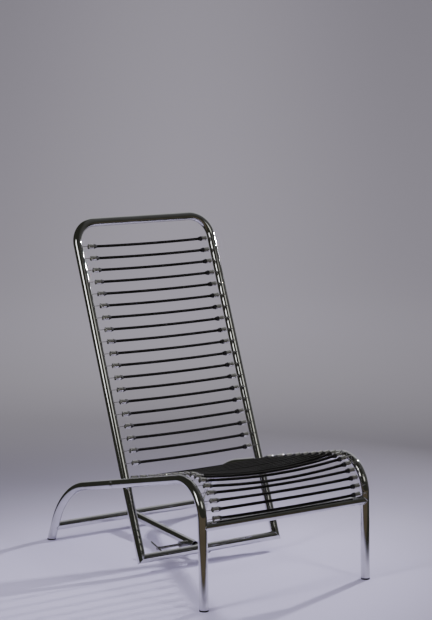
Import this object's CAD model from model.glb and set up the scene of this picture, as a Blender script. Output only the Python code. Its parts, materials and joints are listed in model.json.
# %% [markdown]
# # A low lounge chair of bent tube and elastic cords
#
# The chair is already built as a set of solids, one for each real piece, and
# this script dresses them. Every piece made here is drawn in that same
# frame, so nothing has to be fitted by eye.

# %% Load the solids and keep their box
import json
import math

import bmesh
import bpy
from mathutils import Matrix, Vector

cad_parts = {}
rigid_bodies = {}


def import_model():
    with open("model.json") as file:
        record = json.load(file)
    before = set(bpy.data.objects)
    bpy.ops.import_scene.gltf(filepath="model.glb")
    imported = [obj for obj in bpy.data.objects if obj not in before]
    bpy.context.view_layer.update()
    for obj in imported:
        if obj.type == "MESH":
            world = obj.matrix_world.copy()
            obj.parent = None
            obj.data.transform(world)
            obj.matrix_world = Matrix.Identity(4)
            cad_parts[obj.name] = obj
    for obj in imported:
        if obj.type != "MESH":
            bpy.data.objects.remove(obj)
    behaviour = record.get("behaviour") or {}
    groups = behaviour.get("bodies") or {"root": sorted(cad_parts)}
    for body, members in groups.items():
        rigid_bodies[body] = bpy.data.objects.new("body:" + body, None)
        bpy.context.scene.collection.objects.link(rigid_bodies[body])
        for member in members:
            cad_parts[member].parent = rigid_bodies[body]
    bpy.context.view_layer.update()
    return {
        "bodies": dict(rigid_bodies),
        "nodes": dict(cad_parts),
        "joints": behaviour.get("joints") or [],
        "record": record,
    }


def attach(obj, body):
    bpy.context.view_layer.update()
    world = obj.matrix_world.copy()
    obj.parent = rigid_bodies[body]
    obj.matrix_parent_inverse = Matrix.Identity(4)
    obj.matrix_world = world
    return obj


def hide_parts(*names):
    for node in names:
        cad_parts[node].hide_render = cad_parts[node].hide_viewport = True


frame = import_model()
nodes = frame["nodes"]
print("loaded", len(nodes), "nodes")

# %% [markdown]
# ## Small helpers
#
# Colours are picked as sRGB hex values, which is how paint charts and
# photographs give them. Shaders work with linear light, so one function
# turns the first into the second. Another adds a node to a shader tree or a
# geometry tree, with its settings and its links, in one call.

# %% Colour and node helpers
def hex_colour(code, alpha=1.0):
    """An sRGB hex colour as the linear RGBA that shaders use."""
    parts = [int(code[i:i + 2], 16) / 255 for i in (1, 3, 5)]
    linear = [p / 12.92 if p <= 0.04045 else ((p + 0.055) / 1.055) ** 2.4 for p in parts]
    return (*linear, alpha)


def add(tree, kind, *values, out=0, **named):
    """Adds a node and returns one of its outputs.

    A shader node goes by its short name, and an operation may follow the kind. The values go to the inputs
    in order. A socket is linked, and a hex colour is turned to linear. A name with a capital is an input,
    i6 is the seventh input, and any other name is a setting.
    """
    kind, _, operation = kind.partition(" ")
    node = tree.nodes.new(kind if "Node" in kind else "ShaderNode" + kind)
    if operation:
        node.operation = operation
    inputs = dict(enumerate(values))
    for name, value in named.items():
        if name[0].isupper():
            inputs[name.replace("_", " ")] = value
        elif name[1:].isdigit():
            inputs[int(name[1:])] = value
        else:
            setattr(node, name, value)
    for key, value in inputs.items():
        if isinstance(value, bpy.types.NodeSocket):
            tree.links.new(value, node.inputs[key])
        elif value is not None:
            is_colour = isinstance(value, str) and value.startswith("#")
            node.inputs[key].default_value = hex_colour(value) if is_colour else value
    return node.outputs[out] if node.outputs else node


def new_object(name, data):
    """A new object in the scene."""
    thing = bpy.data.objects.new(name, data)
    bpy.context.collection.objects.link(thing)
    return thing


def new_material(name):
    """An empty material and the tree to fill."""
    material = bpy.data.materials.new(name)
    material.use_nodes = True
    material.node_tree.nodes.clear()
    return material, material.node_tree


def towards(azimuth):
    """A level direction. Azimuth 0 is in front of the chair, a quarter turn is its +X side."""
    return math.sin(azimuth), -math.cos(azimuth), 0


# %% [markdown]
# ## The camera
#
# The photograph was taken from the chair's front left with a long lens, which
# keeps far and near tubes almost the same width. The place, the turn and the
# lens were worked out from the photograph's own perspective. A sensor height
# of 36 mm stands for the picture's 620 rows, so the lens follows from the
# focal length counted in rows.

# %% Camera at the photograph's place
PHOTO_ROWS = 620
FOCAL_ROWS = 1898
SENSOR_HEIGHT = 36
CAMERA_PLACE = (-2.8566, -4.4241, 1.5210)
CAMERA_AZIMUTH = math.radians(-33.27)
CAMERA_PITCH = math.radians(8.66)

camera_data = bpy.data.cameras.new("photo_camera")
camera_data.sensor_fit = "VERTICAL"
camera_data.sensor_height = SENSOR_HEIGHT
camera_data.lens = FOCAL_ROWS * SENSOR_HEIGHT / PHOTO_ROWS
camera = new_object("photo_camera", camera_data)
camera.location = CAMERA_PLACE
camera.rotation_euler = (math.pi / 2 - CAMERA_PITCH, 0, CAMERA_AZIMUTH)
bpy.context.scene.camera = camera
print("lens", round(camera_data.lens, 1), "mm")

# %% [markdown]
# ## Floor and backdrop
#
# The chair stands on a pale paper sheet that rises into a backdrop. A wide
# dish does that job from every side: flat under the chair, then rising. Its
# tone follows the distance from the chair. The paper is pale and faintly
# violet in the pool of light round the chair, dullest about a metre out,
# where it starts to bend up on the real sweep, and brighter again further
# off, where a lamp of its own lights it. That lamp is a faint glow here, and
# it fades a little to both sides of the sweep and upwards, as one lamp on a
# wide sheet does.

# %% Stage
DISH_FLAT = 6.0
DISH_RISE = 2.5
DISH_HEIGHT = 9.0


def lathe(name, profile, steps=96, closed=False):
    """Turns a profile of (radius, height) points round the Z axis."""
    mesh = bpy.data.meshes.new(name)
    shape = bmesh.new()
    rings = []
    for radius, height in profile:
        if radius < 1e-6:
            rings.append([shape.verts.new((0, 0, height))])
        else:
            turns = [2 * math.pi * k / steps for k in range(steps)]
            rings.append([shape.verts.new((radius * math.cos(t), radius * math.sin(t), height))
                          for t in turns])
    pairs = list(zip(rings, rings[1:])) + ([(rings[-1], rings[0])] if closed else [])
    for low, high in pairs:
        for k in range(steps):
            corners = [low[k % len(low)], low[(k + 1) % steps % len(low)],
                       high[(k + 1) % steps % len(high)], high[k % len(high)]]
            shape.faces.new(list(dict.fromkeys(corners)))
    bmesh.ops.recalc_face_normals(shape, faces=shape.faces)
    shape.to_mesh(mesh)
    shape.free()
    mesh.shade_smooth()
    return new_object(name, mesh)


curve = [(DISH_FLAT + DISH_RISE * math.sin(a), DISH_RISE * (1 - math.cos(a)))
         for a in [math.radians(9 * k) for k in range(11)]]
stage = lathe("paper_stage", [(0, 0), (1.5, 0), (4, 0)] + curve + [(DISH_FLAT + DISH_RISE, DISH_HEIGHT)])
stage.data.flip_normals()


PAPER_REACH = 5.0
POOL_MIDDLE = (-0.25, -0.15, 0)
SWEEP_TURN = math.radians(-33)  # azimuth of the paper's front edge
# The backdrop's lamp fades sideways of the sweep's middle line, and upwards
SWEEP_HALF, SWEEP_RISE = 1.7, 1.8
PAPER_TONES = [(0.0, "#dad6f2"), (0.11, "#dad6f2"), (0.17, "#b8b5c8"), (0.25, "#8a8894"), (0.36, "#8e8b94"),
               (0.60, "#a3a1a8"), (1.0, "#b4b1b8")]
LAMP_TONES = [(0.0, "#000000"), (0.26, "#000000"), (0.5, "#727072"), (0.8, "#848189"), (1.0, "#848189")]
paper, tree = new_material("matte_studio_paper")
place = add(tree, "TexCoord", out="Object")
place = add(tree, "VectorMath SUBTRACT", place, POOL_MIDDLE)
reach = add(tree, "VectorMath LENGTH", place, out="Value")
share = add(tree, "MapRange", reach, 0.0, PAPER_REACH)
aside = add(tree, "VectorMath DOT_PRODUCT", place, towards(SWEEP_TURN + math.pi / 2), out="Value")
aside = add(tree, "Math ABSOLUTE", aside)
height = add(tree, "SeparateXYZ", place, out="Z")
sideways = add(tree, "MapRange", aside, 0.0, SWEEP_HALF, 1.04, 0.78, interpolation_type="SMOOTHSTEP")
upwards = add(tree, "MapRange", height, 0.0, SWEEP_RISE, 1.0, 0.84)
falloff = add(tree, "Math MULTIPLY", sideways, upwards)
far = add(tree, "MapRange", share, 0.2, 0.35)
falloff = add(tree, "Mix", far, i2=1.0, i3=falloff, data_type="FLOAT")
lit = []
for stops in (PAPER_TONES, LAMP_TONES):
    tone = add(tree, "ValToRGB", share)
    points = tone.node.color_ramp.elements
    tone.node.color_ramp.interpolation = "B_SPLINE"
    while len(points) < len(stops):
        points.new(0.5)
    for point, (position, code) in zip(points, stops):
        point.position = position
        point.color = hex_colour(code)
    lit.append(add(tree, "VectorMath SCALE", tone, Scale=falloff))
skin = add(tree, "BsdfPrincipled", Base_Color=lit[0], Roughness=0.85, Specular_IOR_Level=0.1,
           Emission_Color=lit[1], Emission_Strength=1.0)
add(tree, "OutputMaterial", skin)
stage.data.materials.append(paper)
print("stage", len(stage.data.polygons), "faces")

# %% [markdown]
# ## Light
#
# The shadows on the photograph's floor tell where its lamps stood. A small
# soft lamp at the chair's right throws the clearest shadows to the left, a
# soft box at the left throws fainter ones back, and a third stands in front.
# The rest is light that fills the room evenly. The dim world stands for it.

# %% Lamps
SEAT_PLACE = (0, 0, 0.3)
LAMP_TINT = (0.92, 0.89, 1.0)


def soft_lamp(name, place, target, size, power, seen_in_chrome=False, beam=180):
    """An area lamp aimed at a place. A smaller beam, in degrees, stands for a grid in front of it."""
    data = bpy.data.lights.new(name, "AREA")
    data.shape = "DISK"
    data.size = size
    data.energy = power
    data.color = LAMP_TINT
    data.spread = math.radians(beam)
    lamp = new_object(name, data)
    lamp.location = place
    lamp.rotation_euler = (Vector(target) - Vector(place)).to_track_quat("-Z", "Y").to_euler()
    lamp.visible_glossy = seen_in_chrome


soft_lamp("right_lamp", (1.9, 0.2, 1.32), SEAT_PLACE, 0.09, 15, True, 100)
soft_lamp("left_soft_box", (-2.4, -0.5, 1.5), SEAT_PLACE, 0.5, 30)
soft_lamp("front_lamp", (0.7, -3.0, 2.4), SEAT_PLACE, 0.5, 22)
soft_lamp("top_lamp", (0, 0.2, 4.2), SEAT_PLACE, 3.4, 30)

world = bpy.data.worlds.new("dim_room")
world.use_nodes = True
world.node_tree.nodes["Background"].inputs["Color"].default_value = hex_colour("#928e8d")
world.node_tree.nodes["Background"].inputs["Strength"].default_value = 0.7
bpy.context.scene.world = world

# %% [markdown]
# ## What the chrome sees
#
# A polished tube is a bent mirror, so most of its look is the room round it.
# The room here is a dome that only reflections see. Its tone is put together
# from a few soft patches, each given by the direction in which it lies: the
# lit backdrop behind the chair, a grey wall at the right, the front lamp's
# panel, and the narrow soft box at the left that draws the bright line on the
# back's tubes. All the rest is the dark end of the studio. A flat card on the
# floor, again for reflections alone, stands for the dark boards round the
# paper: it is clear under the chair and behind it, and closes further out.

# %% Patches of tone on the dome
def hide_from_all_but_gloss(thing):
    """Keeps a card out of sight for the camera, for soft light and for shadows."""
    thing.visible_camera = False
    thing.visible_diffuse = False
    thing.visible_shadow = False
    thing.visible_transmission = False


def inside(tree, value, low, high, edge):
    """1 between low and high, with soft edges."""
    rise, fall = (add(tree, "MapRange", value, limit - edge, limit + edge,
                      interpolation_type="SMOOTHSTEP") for limit in (low, high))
    return add(tree, "Math SUBTRACT", rise, fall, use_clamp=True)


ROOM_REACH = 5.2
DEGREES = 180 / math.pi
DARK_END = "#30312b"
# Each patch: middle azimuth, half width, low and high elevation, edge, all in degrees, colour, strength
ROOM_PATCHES = [
    (62, 44, 22, 100, 26, "#484846", 1.0),
    (92, 34, -12, 100, 16, "#585858", 1.0),
    (135, 33, -12, 58, 12, "#b4b4b8", 1.0),
    (2, 14, 26, 41, 4, "#e4e4dc", 1.25),
    (-80, 9, 18, 42, 3, "#ffffff", 3.2),
]
dome = lathe("room_dome", [(ROOM_REACH * math.cos(math.radians(e)), ROOM_REACH * math.sin(math.radians(e)))
                           for e in range(-2, 89, 6)] + [(0, ROOM_REACH)], 64)
room, tree = new_material("studio_seen_in_chrome")
place = add(tree, "TexCoord", out="Object")
level = add(tree, "VectorMath MULTIPLY", place, (1, 1, 0))
across = add(tree, "VectorMath LENGTH", level, out="Value")
rise = add(tree, "SeparateXYZ", place, out="Z")
rise = add(tree, "Math ARCTAN2", rise, across)
rise = add(tree, "Math MULTIPLY", rise, DEGREES)
tone = DARK_END
for middle, half, low, high, edge, code, strength in ROOM_PATCHES:
    swing = add(tree, "VectorMath DOT_PRODUCT", place, towards(math.radians(middle)), out="Value")
    swing = add(tree, "Math DIVIDE", swing, across)
    swing = add(tree, "Math ARCCOSINE", swing)
    swing = add(tree, "Math MULTIPLY", swing, DEGREES)
    mask = add(tree, "Math MULTIPLY", inside(tree, swing, -half, half, edge),
               inside(tree, rise, low, high, edge))
    bright = tuple(c * strength for c in hex_colour(code)[:3]) + (1.0,)
    tone = add(tree, "Mix", mask, data_type="RGBA", i6=tone, i7=bright, out=2)
add(tree, "OutputMaterial", add(tree, "Emission", tone))
dome.data.materials.append(room)
hide_from_all_but_gloss(dome)
print("room", len(ROOM_PATCHES), "patches")

# %% Dark boards round the paper, for reflections alone
BOARDS_HEIGHT = 0.0015
TO_BACKDROP = math.radians(135)
boards = lathe("studio_boards", [(0.2, BOARDS_HEIGHT), (1.0, BOARDS_HEIGHT), (ROOM_REACH, BOARDS_HEIGHT)], 64)
wood, tree = new_material("dark_studio_boards")
place = add(tree, "TexCoord", out="Object")
reach = add(tree, "VectorMath LENGTH", place, out="Value")
# Towards the backdrop the boards close further out, and straight towards it never
to_wall = add(tree, "VectorMath DOT_PRODUCT", place, towards(TO_BACKDROP), out="Value")
to_wall = add(tree, "Math MULTIPLY", to_wall, 3.0)
spare = add(tree, "Math MULTIPLY", reach, 1.35)
to_wall = add(tree, "Math SUBTRACT", to_wall, spare)
to_wall = add(tree, "Math MAXIMUM", to_wall, 0.0)
beyond = add(tree, "Math SUBTRACT", reach, to_wall)
to_front = add(tree, "VectorMath DOT_PRODUCT", place, towards(SWEEP_TURN), out="Value")
far_off, paper_edge, browner = (
    add(tree, "MapRange", value, low, high, interpolation_type="SMOOTHSTEP")
    for value, low, high in ((beyond, 0.6, 1.0), (to_front, 0.5, 0.85), (to_front, 0.6, 0.9)))
closed = add(tree, "Math MAXIMUM", far_off, paper_edge)
tone = add(tree, "Mix", browner, data_type="RGBA", i6=DARK_END, i7="#5a5143", out=2)
dark = add(tree, "Emission", tone)
clear = add(tree, "BsdfTransparent")
add(tree, "OutputMaterial", add(tree, "MixShader", closed, clear, dark))
boards.data.materials.append(wood)
hide_from_all_but_gloss(boards)

# %% [markdown]
# ## The chair's lines
#
# Every tube follows a line of straights and arcs, and every cord sits at a
# place along it. The solids came from these same sizes, so a piece made from
# them falls exactly on the solid that it stands for. A side frame's line lies
# in a plane of y and z: up the front leg, over the front bend, down the rail,
# round the wide rear bend and down the rear leg.

# %% Sizes of the frame, in metres and radians
TUBE_RADIUS, TUBE_WALL = 0.0125, 0.0015
TRACK, FOOT_SPAN, CORNER_HEIGHT = 0.530, 0.833, 0.355
LEG_LEAN, RAIL_SLOPE, REAR_SLOPE = (math.radians(a) for a in (1.7, 13.7, 65))
FRONT_BEND, REAR_BEND, BACK_CORNER = 0.092, 0.260, 0.065
FRONT_BAR_HEIGHT, REAR_BAR_HEIGHT, TIP_HEIGHT = 0.223, 0.0445, 0.005
BACK_UP, BACK_DOWN, BACK_LEAN = 0.757, 0.2185, math.radians(22.1)
PIVOT_REACH, PIVOT_GAP = 0.460, 0.013
RAIL_X = TRACK / 2
BACK_X = RAIL_X - 2 * TUBE_RADIUS - PIVOT_GAP


def heading(angle):
    """The direction at an angle over the +Y axis, in y and z."""
    return Vector((math.cos(angle), math.sin(angle)))


def left_of(angle):
    """Square to that direction, on its upper side."""
    return Vector((-math.sin(angle), math.cos(angle)))


LEG_ANGLE = math.pi / 2 - LEG_LEAN
front_edge, rear_edge = TUBE_RADIUS / math.cos(LEG_LEAN), TUBE_RADIUS / math.sin(REAR_SLOPE)
mid_y = (FOOT_SPAN + rear_edge - front_edge) / 2
front_foot, rear_foot = Vector((-mid_y, 0)), Vector((FOOT_SPAN - mid_y, 0))
corner = front_foot + heading(LEG_ANGLE) * CORNER_HEIGHT / math.cos(LEG_LEAN)
front_turn = LEG_ANGLE + RAIL_SLOPE
bend_reach = FRONT_BEND * math.tan(front_turn / 2)
bend_in = corner - heading(LEG_ANGLE) * bend_reach
bend_out = corner + heading(-RAIL_SLOPE) * bend_reach
bend_middle = bend_in - left_of(LEG_ANGLE) * FRONT_BEND
rear_rise = left_of(-REAR_SLOPE) - left_of(-RAIL_SLOPE)
spare = rear_foot - bend_out - REAR_BEND * rear_rise
rail_length = (spare.x + spare.y / math.tan(REAR_SLOPE)) / (
    math.cos(RAIL_SLOPE) - math.sin(RAIL_SLOPE) / math.tan(REAR_SLOPE))
rail_end = bend_out + heading(-RAIL_SLOPE) * rail_length
rear_middle = rail_end - left_of(-RAIL_SLOPE) * REAR_BEND
leg_length, bend_length = (bend_in - front_foot).length, FRONT_BEND * front_turn
front_bar = front_foot + heading(LEG_ANGLE) * FRONT_BAR_HEIGHT / math.cos(LEG_LEAN)
rear_bar = rear_foot - heading(-REAR_SLOPE) * REAR_BAR_HEIGHT / math.sin(REAR_SLOPE)
pivot_y = front_foot.x + PIVOT_REACH
pivot = Vector((pivot_y, bend_out.y - (pivot_y - bend_out.x) * math.tan(RAIL_SLOPE)))
ON_BACK = Matrix.Translation((0, pivot.x, pivot.y)) @ Matrix.Rotation(-BACK_LEAN, 4, "X")
print("rail", round(rail_length * 1000, 2), "mm, pivot at", [round(v * 1000, 2) for v in pivot])


def path_angle(length):
    """Direction of the side frame's line, by the length from the front foot."""
    if length < leg_length:
        return LEG_ANGLE
    return max(-RAIL_SLOPE, LEG_ANGLE - (length - leg_length) / FRONT_BEND)


def path_point(length):
    """Place on the side frame's line, in y and z."""
    if length < leg_length:
        return front_foot + heading(LEG_ANGLE) * length
    if length < leg_length + bend_length:
        return bend_middle + left_of(path_angle(length)) * FRONT_BEND
    return bend_out + heading(-RAIL_SLOPE) * (length - leg_length - bend_length)


# %% [markdown]
# ## A Geometry Nodes tree that sweeps a round bar along a line
#
# A bent tube is a circle drawn along a line. The tree takes a mesh of plain
# edges, turns it into curves, and draws the circle along them. It also keeps
# on each point how far along the line it lies and which side of the circle
# it is on, so that a pattern can follow the bar. The result is turned into a
# plain mesh, and the modifier goes with the object that carried it.

# %% The sweep tree and the call that runs a tree
def geometry_tree(name, sizes):
    """An empty tree for a modifier, with its input and output sockets."""
    tree = bpy.data.node_groups.new(name, "GeometryNodeTree")
    tree.is_modifier = True
    for label, kind in [("Geometry", "NodeSocketGeometry")] + sizes:
        tree.interface.new_socket(label, in_out="INPUT", socket_type=kind)
    tree.interface.new_socket("Geometry", in_out="OUTPUT", socket_type="NodeSocketGeometry")
    return tree, tree.nodes.new("NodeGroupInput").outputs, tree.nodes.new("NodeGroupOutput")


def end_tree(tree, shape, finish, result):
    """Makes the instances real, gives them their finish and ends the tree."""
    real = add(tree, "GeometryNodeRealizeInstances", shape)
    dressed = add(tree, "GeometryNodeSetMaterial", real, Material=finish)
    tree.links.new(dressed, result.inputs[0])


sweep_tree, given, result = geometry_tree("sweep_round_bar", [
    ("Radius", "NodeSocketFloat"), ("Sides", "NodeSocketInt"), ("Closed Ends", "NodeSocketBool"),
    ("Finish", "NodeSocketMaterial")])
line = add(sweep_tree, "GeometryNodeMeshToCurve", given["Geometry"])
girth = add(sweep_tree, "GeometryNodeInputNamedAttribute", data_type="FLOAT", Name="girth", out="Attribute")
line = add(sweep_tree, "GeometryNodeSetCurveRadius", Curve=line, Radius=girth)
length = add(sweep_tree, "GeometryNodeSplineParameter", out="Length")
line = add(sweep_tree, "GeometryNodeStoreNamedAttribute", data_type="FLOAT", domain="POINT",
           Geometry=line, Name="along", Value=length)
circle = add(sweep_tree, "GeometryNodeCurvePrimitiveCircle", Resolution=given["Sides"],
             Radius=given["Radius"])
side = add(sweep_tree, "GeometryNodeInputIndex")
circle = add(sweep_tree, "GeometryNodeStoreNamedAttribute", data_type="FLOAT", domain="POINT",
             Geometry=circle, Name="side", Value=side)
bar = add(sweep_tree, "GeometryNodeCurveToMesh", line, Profile_Curve=circle, Fill_Caps=given["Closed Ends"])
smooth = add(sweep_tree, "GeometryNodeSetShadeSmooth", bar)
end_tree(sweep_tree, smooth, given["Finish"], result)


def seed_mesh(name, lines, **values):
    """A mesh of plain edges through lines of points. values are kept on the points, line by line."""
    mesh = bpy.data.meshes.new(name)
    edges, first = [], 0
    for points in lines:
        edges += [(first + k, first + k + 1) for k in range(len(points) - 1)]
        first += len(points)
    mesh.from_pydata([tuple(p) for points in lines for p in points], edges, [])
    for label, rows in values.items():
        flat = [v for row in rows for v in row]
        kind = "FLOAT" if isinstance(flat[0], (int, float)) else "FLOAT_VECTOR"
        layer = mesh.attributes.new(label, kind, "POINT")
        layer.data.foreach_set("value" if kind == "FLOAT" else "vector",
                               flat if kind == "FLOAT" else [c for v in flat for c in v])
    return mesh


def run_tree(name, seed, tree, **values):
    """Runs a tree on a seed mesh and returns the result as a plain object."""
    carrier = new_object(name + "_seed", seed)
    modifier = carrier.modifiers.new("tree", "NODES")
    modifier.node_group = tree
    for item in tree.interface.items_tree:
        if item.in_out == "INPUT" and item.name.replace(" ", "_") in values:
            modifier[item.identifier] = values[item.name.replace(" ", "_")]
    return made_plain(name, carrier)


def made_plain(name, carrier):
    """The evaluated shape of an object as a new plain object. The old one goes."""
    graph = bpy.context.evaluated_depsgraph_get()
    mesh = bpy.data.meshes.new_from_object(carrier.evaluated_get(graph), depsgraph=graph)
    mesh.name = name
    bpy.data.objects.remove(carrier)
    return new_object(name, mesh)


def sweep(name, lines, radius, finish, sides=48, closed=False, girths=None):
    """A round bar along each line of points."""
    girths = girths or [[1.0] * len(points) for points in lines]
    return run_tree(name, seed_mesh(name, lines, girth=girths), sweep_tree,
                    Radius=radius, Sides=sides, Closed_Ends=closed, Finish=finish)


def seat_on(thing, body, slot, *solids):
    """Rides a finished piece on its body, names its slot and the solids that it stands for."""
    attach(thing, body)
    if solids:
        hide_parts(*solids)
    print(thing.name, len(thing.data.polygons), "faces")
    return thing

# %% [markdown]
# ## Finishes
#
# Five finishes dress the whole chair. The tubes are steel, bent, polished and
# plated with nickel and chrome. That is a mirror with very small faults: a
# faint ripple left by the polishing wheel, fine wiping scratches, and hazy
# patches where hands touch it. The plate is a little warm and absorbs about a
# third of the light, which is why it never looks white.

# %% Chrome
MM = 1000  # a noise of Scale MM / 2 has features about two millimetres wide
chrome, tree = new_material("chrome_plate_on_steel")
place = add(tree, "TexCoord", out="Object")
haze = add(tree, "TexNoise", Vector=place, Scale=MM / 60, Detail=3.0)
drawn_out = add(tree, "Mapping", Vector=place, Scale=(1, 1, 0.06))
wiping = add(tree, "TexNoise", Vector=drawn_out, Scale=MM / 0.9, Detail=1.0)
tint = add(tree, "MapRange", haze, 0.35, 0.65)
tint = add(tree, "Mix", tint, data_type="RGBA", i6="#d0d0ce", i7="#dadadb", out=2)
dull = add(tree, "Math ADD", add(tree, "MapRange", haze, 0.45, 0.75, 0.045, 0.085),
           add(tree, "MapRange", wiping, 0.62, 0.75, 0.0, 0.05))
ripple = add(tree, "TexNoise", Vector=place, Scale=MM / 14, Detail=1.0)
ripple = add(tree, "Bump", Height=ripple, Distance=0.012 / MM)
skin = add(tree, "BsdfPrincipled", Base_Color=tint, Metallic=1.0, Roughness=dull, Normal=ripple)
add(tree, "OutputMaterial", skin)

# %% [markdown]
# The cord ends are pressed from thin steel and zinc plated, and so are their
# wire hooks. Zinc is greyer than chrome and much duller, and the press leaves
# fine rings. Handling has dulled it in spots that are a millimetre or two
# wide.

# %% Zinc
zinc, tree = new_material("zinc_plated_pressed_steel")
place = add(tree, "TexCoord", out="Object")
spots = add(tree, "TexNoise", Vector=place, Scale=MM / 2.5, Detail=3.0, Roughness=0.6)
tone = add(tree, "MapRange", spots, 0.35, 0.7)
tone = add(tree, "Mix", tone, data_type="RGBA", i6="#ecece6", i7="#c4c4bc", out=2)
dull = add(tree, "MapRange", spots, 0.3, 0.75, 0.06, 0.15)
grain = add(tree, "TexNoise", Vector=place, Scale=MM / 0.8, Detail=1.0)
grain = add(tree, "Bump", Height=grain, Distance=0.02 / MM)
skin = add(tree, "BsdfPrincipled", Base_Color=tone, Metallic=0.92, Roughness=dull, Normal=grain)
add(tree, "OutputMaterial", skin)

# %% [markdown]
# The clamp and the lug are turned and cut from bar and only oiled, not plated.
# Their steel is greyer than the chrome, with fine rings from the lathe, and it
# is brighter in the places that hands and other parts rub.

# %% Oiled steel
oiled, tree = new_material("turned_oiled_steel")
place = add(tree, "TexCoord", out="Object")
worn = add(tree, "TexNoise", Vector=place, Scale=MM / 6, Detail=4.0, Roughness=0.65)
pressed = add(tree, "Mapping", Vector=place, Scale=(4, 1, 1))
turned = add(tree, "TexNoise", Vector=pressed, Scale=MM / 1.2)
tone = add(tree, "MapRange", worn, 0.58, 0.72)
tone = add(tree, "Mix", tone, data_type="RGBA", i6="#8c8c88", i7="#bab9b2", out=2)
dull = add(tree, "MapRange", turned, 0.3, 0.7, 0.16, 0.32)
turned = add(tree, "Bump", Height=turned, Distance=0.015 / MM)
skin = add(tree, "BsdfPrincipled", Base_Color=tone, Metallic=1.0, Roughness=dull, Normal=turned)
add(tree, "OutputMaterial", skin)

# %% [markdown]
# The foot tips are moulded rubber: matt, with a fine grain from the mould and
# dust rubbed into it near the floor.

# %% Rubber
rubber, tree = new_material("moulded_black_rubber")
place = add(tree, "TexCoord", out="Object")
grain = add(tree, "TexNoise", Vector=place, Scale=MM / 0.7)
dust = add(tree, "TexNoise", Vector=place, Scale=MM / 5, Detail=3.0)
height = add(tree, "SeparateXYZ", place, out="Z")
low = add(tree, "MapRange", height, 0.0, 0.004, 1.0, 0.0)
dusty = add(tree, "MapRange", dust, 0.4, 0.7, 0.1, 0.8)
dusty = add(tree, "Math MULTIPLY", dusty, low)
tone = add(tree, "Mix", dusty, data_type="RGBA", i6="#1b1a19", i7="#4a4845", out=2)
grain = add(tree, "Bump", Height=grain, Distance=0.05 / MM)
skin = add(tree, "BsdfPrincipled", Base_Color=tone, Roughness=0.62, Normal=grain)
add(tree, "OutputMaterial", skin)

# %% [markdown]
# The cords are rubber strands inside a braided cover of black yarn. Eight
# yarns wind one way and eight the other, over and under, at about forty
# degrees. The braid follows the cord, so it is drawn on the cord's own UV
# map: U goes once round, V is the length in metres. The real yarns are half a
# millimetre wide. They are drawn a little over a millimetre wide, or they
# would be lost in the picture. Dull yarn mirrors very little.

# %% Braided cover
YARNS_ROUND = 8
YARNS_PER_METRE = 260
cover, tree = new_material("braided_black_yarn_over_rubber")
lay = add(tree, "UVMap", uv_map="cover")
lay = add(tree, "SeparateXYZ", lay).node.outputs
wound = add(tree, "Math MULTIPLY", lay["X"], 2 * math.pi * YARNS_ROUND)
along = add(tree, "Math MULTIPLY", lay["Y"], 2 * math.pi * YARNS_PER_METRE)
one_way = add(tree, "Math SINE", add(tree, "Math ADD", wound, along))
other_way = add(tree, "Math SINE", add(tree, "Math SUBTRACT", wound, along))
over = add(tree, "Math MULTIPLY", one_way, other_way)
yarn = add(tree, "Math ABSOLUTE", over)
place = add(tree, "TexCoord", out="Object")
fuzz = add(tree, "TexNoise", Vector=place, Scale=MM / 0.6)
worn = add(tree, "TexNoise", Vector=place, Scale=MM / 25)
tone = add(tree, "MapRange", yarn, 0.0, 0.5)
tone = add(tree, "Mix", tone, data_type="RGBA", i6="#0a0a08", i7="#191913", out=2)
worn = add(tree, "MapRange", worn, 0.5, 0.8, 0.0, 0.2)
tone = add(tree, "Mix", worn, data_type="RGBA", i6=tone, i7="#24241e", out=2)
height = add(tree, "Math ADD", yarn, add(tree, "Math MULTIPLY", fuzz, 0.4))
height = add(tree, "Bump", Height=height, Distance=0.16 / MM)
skin = add(tree, "BsdfPrincipled", Base_Color=tone, Roughness=0.8, Normal=height,
           Specular_IOR_Level=0.15)
add(tree, "OutputMaterial", skin)

# %% A finish for every slot
FINISH = {"chrome_tube": chrome, "rubber_tip": rubber, "elastic_cord": cover, "zinc_wire": zinc,
          "plain_steel": oiled}
for part in frame["record"]["subparts"]:
    for slot in nodes[part["node"]].material_slots:
        slot.material = FINISH[part["material_slot"]]
print("finishes", sorted(m.name for m in FINISH.values()))

# %% [markdown]
# ## Frame tubes
#
# The side frames and the back are swept along the chair's lines. A swept tube
# starts as a skin without thickness. It is cut off flat at the floor, or at
# 45 degrees where the back's bottom tube meets its sides, and a Solidify
# modifier then gives it its 1.5 mm wall.

# %% Cutting and walling a swept skin
def cut_off(thing, place, direction, side=0):
    """Cuts away what lies past a plane, on the whole piece or only at its left (-1) or right (1)."""
    shape = bmesh.new()
    shape.from_mesh(thing.data)
    verts = [v for v in shape.verts if v.co.x * side >= 0]
    near = set(verts)
    geom = verts + [g for g in shape.edges[:] + shape.faces[:] if near.issuperset(g.verts)]
    bmesh.ops.bisect_plane(shape, geom=geom, plane_co=place, plane_no=direction, clear_outer=True)
    shape.to_mesh(thing.data)
    shape.free()


def walled(thing, wall=TUBE_WALL):
    """Gives a skin its wall, inwards, and makes the result plain."""
    modifier = thing.modifiers.new("wall", "SOLIDIFY")
    modifier.thickness = wall
    modifier.offset = -1.0
    modifier.use_quality_normals = True
    name = thing.name
    thing.name = name + "_skin"
    plain = made_plain(name, thing)
    mesh = plain.data
    mesh.set_sharp_from_angle(angle=math.radians(40))
    return plain


def arc(middle, radius, start, stop, step=math.radians(3)):
    """Points on an arc in y and z, from one direction to another."""
    count = max(2, math.ceil(abs(stop - start) / step))
    return [middle + left_of(start + (stop - start) * k / count) * radius for k in range(count + 1)]


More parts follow.
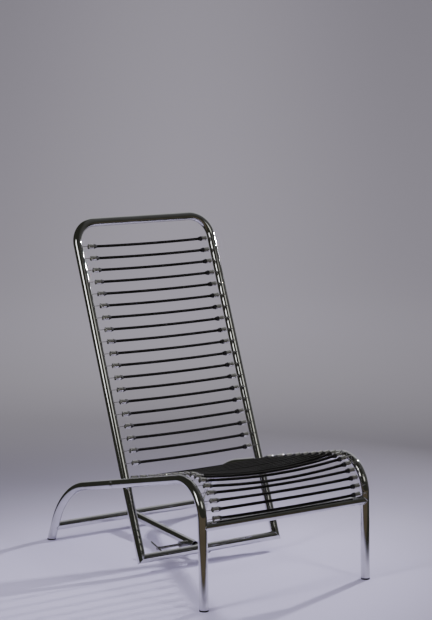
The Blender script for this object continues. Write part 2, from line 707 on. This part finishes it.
side_line = ([front_foot - heading(LEG_ANGLE) * 0.01]
             + arc(bend_middle, FRONT_BEND, LEG_ANGLE, -RAIL_SLOPE)
             + arc(rear_middle, REAR_BEND, -RAIL_SLOPE, -REAR_SLOPE)
             + [rear_foot + heading(-REAR_SLOPE) * 0.02])
for side, x in (("left", -RAIL_X), ("right", RAIL_X)):
    tube = sweep("bent_side_tube_" + side, [[(x, p.x, p.y) for p in side_line]], TUBE_RADIUS, chrome)
    cut_off(tube, (0, 0, TIP_HEIGHT), (0, 0, -1))
    seat_on(walled(tube), "base", "chrome_tube", "side_frame_" + side)

# %% The back's tubes and their mitres
straight = BACK_UP - BACK_CORNER
low_end = -BACK_DOWN - 2 * TUBE_RADIUS
corner_turns = [math.radians(3 * k) for k in range(31)]
back_line = [(-BACK_X, low_end)]
back_line += [(-BACK_X + BACK_CORNER * (1 - math.cos(t)), straight + BACK_CORNER * math.sin(t))
              for t in corner_turns]
back_line += [(-x, z) for x, z in reversed(back_line)]
tube = sweep("bent_back_tube", [[ON_BACK @ Vector((x, 0, z)) for x, z in back_line]], TUBE_RADIUS, chrome)
lower = sweep("back_bottom_tube", [[ON_BACK @ Vector((x, 0, -BACK_DOWN)) for x in (-RAIL_X, RAIL_X)]],
              TUBE_RADIUS, chrome)
turn_back = ON_BACK.to_3x3()
for sign in (-1, 1):
    mitre = ON_BACK @ Vector((sign * BACK_X, 0, -BACK_DOWN))
    upper_side = turn_back @ Vector((sign, 0, 1)).normalized()
    cut_off(tube, mitre, -upper_side, sign)
    cut_off(lower, mitre, upper_side)
seat_on(walled(tube), "back", "chrome_tube", "back_frame")
seat_on(walled(lower), "back", "chrome_tube", "back_crossbar")

# %% [markdown]
# The two crossbars run from leg to leg. Where a round bar meets another of
# the same size, the seam is a curve that comes to a point on each side. The
# real seam is brazed and polished before plating, which leaves a fine soft
# bead. The bead is swept along the same curve.

# %% Crossbars and brazed seams
BEAD = 0.0011
SEAM_STEPS = 48
turns = [2 * math.pi * k / SEAM_STEPS for k in range(SEAM_STEPS + 1)]
for name, place, along in (("front_crossbar", front_bar, heading(LEG_ANGLE)),
                           ("rear_crossbar", rear_bar, heading(-REAR_SLOPE))):
    reach = RAIL_X - TUBE_RADIUS * 0.4
    bar = sweep(name + "_tube", [[(x, place.x, place.y) for x in (-reach, reach)]], TUBE_RADIUS, chrome)
    seat_on(walled(bar), "base", "chrome_tube", name)
    across = Vector((-along.y, along.x))
    seams = []
    for sign in (-1, 1):
        ring = []
        for t in turns:
            off = along * math.sin(t) * TUBE_RADIUS + across * math.cos(t) * TUBE_RADIUS
            ring.append((sign * (RAIL_X - TUBE_RADIUS * abs(math.sin(t))), place.x + off.x, place.y + off.y))
        seams.append(ring)
    seat_on(sweep(name + "_seams", seams, BEAD, chrome, 10), "base", "chrome_tube")
seams = []
for sign in (-1, 1):
    seams.append([ON_BACK @ Vector((sign * BACK_X + TUBE_RADIUS * math.cos(t), TUBE_RADIUS * math.sin(t),
                                    -BACK_DOWN - sign * TUBE_RADIUS * math.cos(t))) for t in turns])
seat_on(sweep("back_corner_seams", seams, BEAD * 0.6, chrome, 10), "back", "chrome_tube")

# %% [markdown]
# ## Cords
#
# Each cord hangs in a flat arc between its two ends and has a knot inside
# each. The same sweep tree draws all the cords of one group at once. The
# knot is the cord's own girth growing over its last millimetres, so it is one
# more value on the points. The cords on the front bend hang the deeper the
# higher they sit, because the sitter's weight has stretched those most.

# %% Stations and arcs of the cords
CORD_RADIUS = 0.004
END_REACH, END_RISE, END_LENGTH = 0.027, 0.010, 0.025
BACK_COUNT, FRONT_COUNT, FLAT_COUNT = 19, 8, 8
BACK_PITCH, BACK_TOP_GAP, BACK_SAG = 0.0352, 0.074, 0.003
FRONT_PITCH, FRONT_GAP, SEAT_SAG = 0.021, 0.021, 0.020
FLAT_PITCH_FRONT, FLAT_PITCH_REAR = 0.028, 0.050
FRONT_SAG_SHARES = [0.17, 0.1, 0.21, 0.38, 0.73, 0.74, 0.91, 1]
FLAT_SAG_SHARES = [0.95, 0.85, 0.75, 0.6, 0.5, 0.4, 0.3, 0.2]
KNOT_GIRTH = 1.33
BACK_HALF, SEAT_HALF = BACK_X - END_REACH, RAIL_X - END_REACH
first_station = (front_bar - front_foot).length + FRONT_GAP
front_stations = [first_station + k * FRONT_PITCH for k in range(FRONT_COUNT)]
growth = (FLAT_PITCH_REAR - FLAT_PITCH_FRONT) / (FLAT_COUNT - 1)
flat_stations = [front_stations[-1] + (k + 1) * FLAT_PITCH_FRONT + growth * k * (k + 1) / 2
                 for k in range(FLAT_COUNT)]
back_stations = [BACK_UP - BACK_TOP_GAP - k * BACK_PITCH for k in range(BACK_COUNT)]


def mouth_on_seat(station):
    """Frame of a seat cord: middle of the chair, at the height of its mouths."""
    p = path_point(station) + left_of(path_angle(station)) * END_RISE
    return Matrix.Translation((0, p.x, p.y))


def mouth_on_back(station):
    """The same for a back cord, turned with the back."""
    return ON_BACK @ Matrix.Translation((0, -END_RISE, station))


# Each row: frame of the cord, half its span from mouth to mouth, sag
front_rows, flat_rows = ([(mouth_on_seat(s), SEAT_HALF, SEAT_SAG * share) for s, share in pairs]
                         for pairs in (zip(front_stations, FRONT_SAG_SHARES),
                                       zip(flat_stations, FLAT_SAG_SHARES)))
back_rows = [(mouth_on_back(s), BACK_HALF, BACK_SAG) for s in back_stations]
ARC_SHARES = [k / 20 - 1 for k in range(41)]
# How far from the cord's end, and the girth there
KNOT_STEPS = [(0.0, 0.55), (0.0012, 1.05), (0.003, KNOT_GIRTH), (0.0058, KNOT_GIRTH), (0.0078, 1.08),
              (0.0095, 1.0)]


def cord_points(row):
    """Points and girths of one cord, from knot to knot."""
    place, half, sag = row
    knot = half - END_LENGTH * 0.38
    xs = [-knot + step for step, _ in KNOT_STEPS]
    girths = [girth for _, girth in KNOT_STEPS]
    inner = knot - KNOT_STEPS[-1][0]
    middle = [inner * share for share in ARC_SHARES[1:-1]]
    xs, girths = xs + middle + [-x for x in reversed(xs)], girths + [1.0] * len(middle) + girths[::-1]
    return [place @ Vector((x, 0, -sag * (1 - (x / half) ** 2))) for x in xs], girths


def lay_cover(thing, sides):
    """UV map that follows a swept bar: U once round, V in metres along."""
    mesh = thing.data
    along = [v.value for v in mesh.attributes["along"].data]
    side = [v.value for v in mesh.attributes["side"].data]
    sheet = mesh.uv_layers.new(name="cover")
    for face in mesh.polygons:
        turns = [side[v] for v in face.vertices]
        seam = max(turns) - min(turns) > sides / 2
        for loop, turn, v in zip(face.loop_indices, turns, face.vertices):
            sheet.data[loop].uv = ((turn + (sides if seam and turn < sides / 2 else 0)) / sides, along[v])


CORD_SIDES = 16
for name, rows, body, solid in (("back_cords_braided", back_rows, "back", "back_cords"),
                                ("seat_cords_braided", flat_rows, "base", "seat_cords"),
                                ("front_cords_braided", front_rows, "base", "front_cords")):
    lines, girths = zip(*[cord_points(row) for row in rows])
    cords = sweep(name, lines, CORD_RADIUS, cover, CORD_SIDES, True, girths)
    lay_cover(cords, CORD_SIDES)
    seat_on(cords, body, "elastic_cord", solid)

# %% [markdown]
# ## Cord ends and hooks
#
# Each cord end is a pressed cup: a rolled rim, a barrel that tapers a little,
# a rounded shoulder and a short neck that grips the cord. It is turned from
# a profile, as on a lathe. A second tree puts one copy of a shape on each
# point of a mesh. The turn of each copy is kept on its point, and a seeded
# random roll keeps the cups from looking stamped out in one row. A thin black
# rubber boot covers the shoulder and the neck and keeps the cord from chafing.

# %% The tree that puts a shape on points
set_tree, given, result = geometry_tree("set_shape_on_points", [
    ("Shape", "NodeSocketObject"), ("Roll", "NodeSocketFloat"), ("Seed", "NodeSocketInt"),
    ("Finish", "NodeSocketMaterial")])
shape = add(set_tree, "GeometryNodeObjectInfo", given["Shape"], out="Geometry")
facing = add(set_tree, "GeometryNodeInputNamedAttribute", data_type="FLOAT_VECTOR", Name="facing",
             out="Attribute")
facing = add(set_tree, "FunctionNodeEulerToRotation", facing)
lowest = add(set_tree, "Math MULTIPLY", given["Roll"], -1.0)
roll = add(set_tree, "FunctionNodeRandomValue", data_type="FLOAT", Seed=given["Seed"], i2=lowest,
           i3=given["Roll"], out=1)
roll = add(set_tree, "FunctionNodeEulerToRotation", add(set_tree, "CombineXYZ", roll))
turned = add(set_tree, "FunctionNodeRotateRotation", facing, roll, rotation_space="LOCAL")
copies = add(set_tree, "GeometryNodeInstanceOnPoints", given["Geometry"], Instance=shape, Rotation=turned)
end_tree(set_tree, copies, given["Finish"], result)


def set_on(name, frames, shape, finish, roll=0.0, seed=1):
    """One copy of a shape on each frame."""
    points = [[frame.translation] for frame in frames]
    facings = [[Vector(frame.to_euler())] for frame in frames]
    return run_tree(name, seed_mesh(name, points, facing=facings), set_tree,
                    Shape=shape, Roll=roll, Seed=seed, Finish=finish)


# %% The pressed cup
MOUTH, SHOULDER, CUP_WALL = 0.0075, 0.0067, 0.0009
NECK = CORD_RADIUS + 0.0011
barrel = END_LENGTH * 0.74
# Rolled rim, barrel, shoulder, neck, and back along the inside
cup_profile = [
    (MOUTH - 0.0011, 0.0004), (MOUTH - 0.0007, 0.0), (MOUTH - 0.0002, 0.0002), (MOUTH, 0.0008),
    (MOUTH - 0.0001, 0.0015), (MOUTH - 0.0004, 0.0020), (MOUTH - 0.0003, 0.0026),
    (SHOULDER + 0.0001, barrel - 0.0012), (SHOULDER - 0.0001, barrel - 0.0002),
    (SHOULDER - 0.0006, barrel + 0.0006),
    (NECK + 0.0003, END_LENGTH - 0.0014), (NECK, END_LENGTH - 0.0004), (NECK - 0.0003, END_LENGTH),
    (CORD_RADIUS + 0.0003, END_LENGTH - 0.0001), (CORD_RADIUS + 0.0002, END_LENGTH - 0.0012),
    (SHOULDER - CUP_WALL - 0.0006, barrel), (MOUTH - CUP_WALL - 0.0005, 0.0022)]
cup = lathe("cord_cup_shape", cup_profile, 28, True)
cup.data.transform(Matrix.Rotation(math.pi / 2, 4, "Y"))
cup.data.set_sharp_from_angle(angle=math.radians(48))
print("cup", len(cup.data.polygons), "faces")

# %% The rubber boot over the cup's shoulder
BOOT = 0.0004
boot_profile = [
    (SHOULDER + 0.0001, barrel - 0.0022), (SHOULDER + BOOT, barrel - 0.0020),
    (SHOULDER + BOOT, barrel - 0.0002), (SHOULDER - 0.0001, barrel + 0.0012),
    (NECK + BOOT, END_LENGTH - 0.0012), (NECK + BOOT - 0.0002, END_LENGTH + 0.0002),
    (CORD_RADIUS + 0.0001, END_LENGTH + 0.0003), (NECK, END_LENGTH - 0.0008),
    (SHOULDER - 0.0005, barrel + 0.0007)]
boot = lathe("cord_boot_shape", boot_profile, 28, True)
boot.data.transform(Matrix.Rotation(math.pi / 2, 4, "Y"))
boot.data.set_sharp_from_angle(angle=math.radians(48))
print("boot", len(boot.data.polygons), "faces")


def cup_frames(rows, sign):
    """Frames of the cups at one end of the cords. x points from the mouth to the cord."""
    frames = []
    for place, half, sag in rows:
        slope = math.atan2(2 * sag, half)
        turn = slope if sign < 0 else math.pi - slope
        frames.append(place @ Matrix.Translation((sign * half, 0, 0)) @ Matrix.Rotation(turn, 4, "Y"))
    return frames


# %% The wire hook
WIRE = 0.0009
HOOK_IN, HOOK_BEND = 0.0025, 0.0028
over_tube = TUBE_RADIUS + WIRE + 0.0003
hook_turns = [math.radians(15 * k) for k in range(7)]
hook_line = [(HOOK_IN, 0, TUBE_RADIUS - 0.004), (HOOK_IN, 0, TUBE_RADIUS - 0.001)]
hook_line += [(HOOK_IN + HOOK_BEND * (1 - math.cos(t)), 0, over_tube - HOOK_BEND * (1 - math.sin(t)))
              for t in hook_turns]
hook_line += [(END_REACH - 0.004, 0, over_tube), (END_REACH, 0, over_tube - 0.0001),
              (END_REACH + 0.003, 0, over_tube - 0.0008), (END_REACH + 0.006, 0, over_tube - 0.0026),
              (END_REACH + 0.0075, 0, END_RISE)]
pin_reach = MOUTH - CUP_WALL - 0.0007
pin_line = [(END_REACH + 0.0012, y, END_RISE + 0.0026) for y in (-pin_reach * 0.84, pin_reach * 0.84)]
hook = sweep("wire_hook_shape", [hook_line, pin_line], WIRE, zinc, 8, True)


def hook_frames(places, sign):
    """Frames of the hooks on one side. x points to the chair's middle, z away from the tube."""
    turn = Matrix.Rotation(math.pi if sign > 0 else 0, 4, "Z")
    return [place @ Matrix.Translation((sign * abs_x, 0, 0)) @ turn for place, abs_x in places]


def path_frame(station):
    """Frame on a side tube: y along the tube, z to its upper side."""
    p = path_point(station)
    return Matrix.Translation((0, p.x, p.y)) @ Matrix.Rotation(path_angle(station), 4, "X")


def back_frame_at(station):
    """The same on the back's upright tubes."""
    return ON_BACK @ Matrix.Translation((0, 0, station)) @ Matrix.Rotation(math.pi / 2, 4, "X")


# Each group: body, rows of cords, and the frame and side distance of each hook
groups = {
    "front": ("base", front_rows, [(path_frame(s), RAIL_X) for s in front_stations]),
    "seat": ("base", flat_rows, [(path_frame(s), RAIL_X) for s in flat_stations]),
    "back": ("back", back_rows, [(back_frame_at(s), BACK_X) for s in back_stations]),
}
for seed, (group, (body, rows, places)) in enumerate(groups.items()):
    for side, sign in (("left", -1), ("right", 1)):
        cups = set_on(f"{group}_cups_{side}", cup_frames(rows, sign), cup, zinc, math.pi, 11 + seed)
        seat_on(cups, body, "zinc_wire", f"{group}_cord_ends_{side}")
        boots = set_on(f"{group}_boots_{side}", cup_frames(rows, sign), boot, rubber)
        seat_on(boots, body, "rubber_tip")
        hooks = set_on(f"{group}_wire_hooks_{side}", hook_frames(places, sign), hook, zinc)
        seat_on(hooks, body, "zinc_wire", f"{group}_hooks_{side}")
for shape in (cup, boot, hook):
    bpy.data.objects.remove(shape)

# %% [markdown]
# Each wire goes down into a small hole drilled through the top of the tube.
# Polish and dust have settled round the wire, so the hole is a dark ring.
# The rings are set on the same places as the hooks, by the same tree.

# %% Rings of old polish round the hooks
polish, tree = new_material("old_polish_in_drilled_holes")
place = add(tree, "TexCoord", out="Object")
spots = add(tree, "TexNoise", Vector=place, Scale=MM / 0.8)
tone = add(tree, "MapRange", spots, 0.35, 0.7)
tone = add(tree, "Mix", tone, data_type="RGBA", i6="#141311", i7="#34322c", out=2)
dull = add(tree, "MapRange", spots, 0.3, 0.7, 0.5, 0.7)
skin = add(tree, "BsdfPrincipled", Base_Color=tone, Roughness=dull)
add(tree, "OutputMaterial", skin)
HOLE_RADIUS, HOLE_TURNS, HOLE_BEAD = 0.0017, 16, 0.00022
lip = TUBE_RADIUS + 0.00012


def on_tube_top(radius, height):
    """A ring's outline on the top of a tube that runs along y."""
    points = []
    for k in range(HOLE_TURNS + 1):
        turn = 2 * math.pi * k / HOLE_TURNS
        x = radius * math.cos(turn)
        points.append((x, radius * math.sin(turn), math.sqrt(height ** 2 - x ** 2)))
    return points


outlines = [on_tube_top(HOLE_RADIUS * share, lip) for share in (0.62, 0.86)]
hole = sweep("hole_ring_shape", outlines, HOLE_BEAD, polish, 6)
to_hole = Matrix.Rotation(math.atan2(HOOK_IN, TUBE_RADIUS), 4, "Y")
hole.data.transform(Matrix.Translation((HOOK_IN, 0, 0)) @ to_hole @ Matrix.Translation((0, 0, -0.0003)))
for group, (body, rows, places) in groups.items():
    for side, sign in (("left", -1), ("right", 1)):
        rings = set_on(f"{group}_hole_rings_{side}", hook_frames(places, sign), hole, polish)
        seat_on(rings, body, "chrome_tube")
bpy.data.objects.remove(hole)

# %% [markdown]
# ## Fittings
#
# Bolts, nuts, spacers, lug and feet are turned, cut or moulded. Their solids
# already have the true shapes, so each piece starts as a copy of its solid.
# Loose triangles are merged into whole faces, and a Bevel modifier breaks the
# edges by a few tenths of a millimetre, as a tumbling drum does. The bevel
# hardens the normals, so flat faces stay flat in their reflections.

# %% Copies of the solids with broken edges
def softened(name, solid, body, slot, edge=0.0004, keep_past=None):
    """A copy of a solid with its edges broken. It takes the solid's place."""
    node = nodes[solid]
    mesh = node.data.copy()
    mesh.transform(node.matrix_world)
    shape = bmesh.new()
    shape.from_mesh(mesh)
    bmesh.ops.remove_doubles(shape, verts=shape.verts, dist=1e-6)
    bmesh.ops.dissolve_limit(shape, angle_limit=math.radians(1), verts=shape.verts, edges=shape.edges)
    if keep_past:
        place, direction = keep_past
        bmesh.ops.bisect_plane(shape, geom=shape.verts[:] + shape.edges[:] + shape.faces[:],
                               plane_co=place, plane_no=direction, clear_inner=True)
        bmesh.ops.holes_fill(shape, edges=[e for e in shape.edges if e.is_boundary])
        bmesh.ops.recalc_face_normals(shape, faces=shape.faces)
    shape.to_mesh(mesh)
    shape.free()
    mesh.shade_smooth()
    mesh.set_sharp_from_angle(angle=math.radians(30))
    mesh.materials.clear()
    mesh.materials.append(FINISH[slot])
    carrier = new_object(name + "_cut", mesh)
    bevel = carrier.modifiers.new("edge", "BEVEL")
    bevel.width = edge
    bevel.segments = 2
    bevel.limit_method = "ANGLE"
    bevel.angle_limit = math.radians(30)
    bevel.harden_normals = True
    return seat_on(made_plain(name, carrier), body, slot, solid)


for side in ("left", "right"):
    for name, solid in (("bolt_head", "bolt"), ("spacer_turned", "spacer"), ("cap_nut", "nut")):
        softened(f"pivot_{name}_{side}", f"pivot_{solid}_{side}", "base", "chrome_tube", 0.0003)
    for end in ("front", "rear"):
        softened(f"rubber_tip_{end}_{side}", f"foot_{end}_{side}", "base", "rubber_tip", 0.0008)
softened("lug_cheeks", "back_lug", "back", "plain_steel")
softened("riveted_lug_pin", "lug_pin", "back", "plain_steel", 0.0003)
softened("strut_sleeve_turned", "strut_sleeve", "strut", "chrome_tube", 0.0006)
softened("threaded_boss", "strut_boss", "strut", "plain_steel", 0.0005)
softened("rod_eye_turned", "rod_eye", "rod", "chrome_tube", 0.0005)

# %% [markdown]
# ## The telescopic strut
#
# The strut is a tube of the frame's own size that turns on the rear crossbar,
# and a rod slides in it. Both are swept. Where each meets its sleeve or eye,
# its end is hollowed to the round it sits on, which welders call a fishmouth.
# A thin black bushing lines the tube's mouth and guides the rod.

# %% Strut, rod and bushing
ROD_BARE, ROD_LENGTH, ROD_RADIUS = 0.0592, 0.230, 0.006
LUG_BACK, LUG_DROP, EYE_RADIUS, SLEEVE_RADIUS = 0.025, 0.0068, 0.008, 0.015
BUSHING_LENGTH, BUSHING_WALL = 0.010, 0.0005
lug = ON_BACK @ Vector((0, LUG_BACK, -BACK_DOWN - LUG_DROP))
tilt = math.atan2(rear_bar.y - lug.z, rear_bar.x - lug.y)
strut_length = math.hypot(rear_bar.y - lug.z, rear_bar.x - lug.y) - ROD_BARE
ON_STRUT = Matrix.Translation((0, rear_bar.x, rear_bar.y)) @ Matrix.Rotation(math.pi / 2 + tilt, 4, "X")
ON_ROD = Matrix.Translation(lug) @ Matrix.Rotation(tilt - math.pi / 2, 4, "X")


def fishmouth(thing, frame, radius):
    """Draws the low end of a bar back onto the round that it sits on."""
    back = frame.inverted()
    for vert in thing.data.vertices:
        p = back @ vert.co
        if p.z < radius * 0.6:
            p.z = math.sqrt(max(radius ** 2 - p.y ** 2, 0.0)) - 0.0002
            vert.co = frame @ p


def straight_bar(name, frame, stops, radius, closed):
    """A round bar along a frame's z axis. Each stop is a height and a girth."""
    return sweep(name, [[frame @ Vector((0, 0, z)) for z, _ in stops]], radius, chrome, 48, closed,
                 [[girth for _, girth in stops]])


stops = [(0.005, 1), (0.02, 1), (strut_length, 1)]
outer = straight_bar("strut_outer_tube", ON_STRUT, stops, TUBE_RADIUS, False)
fishmouth(outer, ON_STRUT, SLEEVE_RADIUS)
seat_on(walled(outer), "strut", "chrome_tube", "strut_tube")
rod_end = ROD_LENGTH - 0.001
stops = [(0.003, 1), (0.012, 1), (rod_end, 1), (ROD_LENGTH, 0.85)]
inner = straight_bar("strut_sliding_rod", ON_ROD, stops, ROD_RADIUS, True)
fishmouth(inner, ON_ROD, EYE_RADIUS)
inner.data.set_sharp_from_angle(angle=math.radians(40))
seat_on(inner, "rod", "chrome_tube", "strut_rod")
bore = TUBE_RADIUS - TUBE_WALL - 0.0001
bushing = lathe("strut_mouth_bushing", [(bore, strut_length - BUSHING_LENGTH), (bore, strut_length - 0.0003),
                                        (bore - BUSHING_WALL, strut_length - 0.0001),
                                        (bore - BUSHING_WALL, strut_length - BUSHING_LENGTH)], 48, True)
bushing.data.transform(ON_STRUT)
bushing.data.set_sharp_from_angle(angle=math.radians(40))
bushing.data.materials.append(rubber)
seat_on(bushing, "strut", "rubber_tip")

# %% [markdown]
# ## The clamp
#
# A screw on the strut's left side presses on the rod. Its thread is a helix
# laid round a core, one turn every 1.25 mm. The head is drilled for a sliding
# bar, and a thin knurled ring locks the screw against the boss.

# %% Screw, ring and bar
SCREW_BACK, SCREW_TIP, SCREW_END, HEAD_HEIGHT = 0.025, 0.0063, 0.113, 0.010
CORE_RADIUS, CREST, PITCH, HELIX_STEPS = 0.0035, 0.0004, 0.00125, 16
RING_START, RING_HEIGHT, RING_RADIUS, RING_BORE = 0.0348, 0.003, 0.009, 0.0041
RING_CHAMFER, KNURLS, KNURL_BAND, KNURL_SHARE = 0.0005, 36, 0.0007, 0.955
BAR_RADIUS, BAR_LENGTH, BAR_SHIFT, BAR_TILT = 0.0025, 0.058, 0.012, math.radians(12)
ON_SCREW = (ON_STRUT @ Matrix.Translation((0, 0, strut_length - SCREW_BACK))
            @ Matrix.Rotation(-math.pi / 2, 4, "Y"))
neck = SCREW_END - HEAD_HEIGHT - 0.0015
softened("clamp_screw_head", "clamp_screw", "screw", "plain_steel", 0.0005,
         (ON_SCREW @ Vector((0, 0, neck)), ON_SCREW.to_3x3() @ Vector((0, 0, 1))))
core = [[ON_SCREW @ Vector((0, 0, z)) for z in (SCREW_TIP, SCREW_TIP + 0.001, neck + 0.001)]]
seat_on(sweep("clamp_screw_core", core, CORE_RADIUS, oiled, 32, True, [[0.8, 1, 1]]), "screw", "plain_steel")
count = int((neck - SCREW_TIP - 0.001) / PITCH * HELIX_STEPS)
helix = []
for k in range(count):
    turn = 2 * math.pi * k / HELIX_STEPS
    helix.append(ON_SCREW @ Vector((CORE_RADIUS * math.cos(turn), CORE_RADIUS * math.sin(turn),
                                    SCREW_TIP + 0.001 + PITCH * k / HELIX_STEPS)))
seat_on(sweep("clamp_screw_thread", [helix], CREST, oiled, 6, True), "screw", "plain_steel")

ring_end, face = RING_START + RING_HEIGHT, RING_RADIUS - RING_CHAMFER
ring = lathe("clamp_lock_ring", [
    (RING_BORE, RING_START), (face, RING_START), (RING_RADIUS, RING_START + RING_CHAMFER),
    (RING_RADIUS, ring_end - RING_CHAMFER), (face, ring_end), (RING_BORE, ring_end)], KNURLS * 4, True)
for vert in ring.data.vertices:
    place = round(math.atan2(vert.co.y, vert.co.x) / (2 * math.pi) * KNURLS * 4) % 4
    if place < 2 and math.hypot(vert.co.x, vert.co.y) > RING_RADIUS - KNURL_BAND:
        vert.co.x *= KNURL_SHARE
        vert.co.y *= KNURL_SHARE
ring.data.transform(ON_SCREW)
ring.data.set_sharp_from_angle(angle=math.radians(35))
ring.data.materials.append(oiled)
seat_on(ring, "screw", "plain_steel", "clamp_ring")

ball = [math.radians(15 * k) for k in range(7)]
half = BAR_LENGTH / 2 - BAR_RADIUS
outline = [(BAR_RADIUS * math.sin(a), -half - BAR_RADIUS * math.cos(a)) for a in ball]
outline += [(r, -z) for r, z in reversed(outline)]
bar = lathe("clamp_sliding_bar", outline, 32)
in_head = (Matrix.Translation((0, 0, SCREW_END - HEAD_HEIGHT / 2))
           @ Matrix.Rotation(math.pi - BAR_TILT, 4, "Z") @ Matrix.Rotation(math.pi / 2, 4, "Y"))
bar.data.transform(ON_SCREW @ in_head @ Matrix.Translation((0, 0, BAR_SHIFT)))
bar.data.materials.append(oiled)
seat_on(bar, "bar", "plain_steel", "clamp_bar")
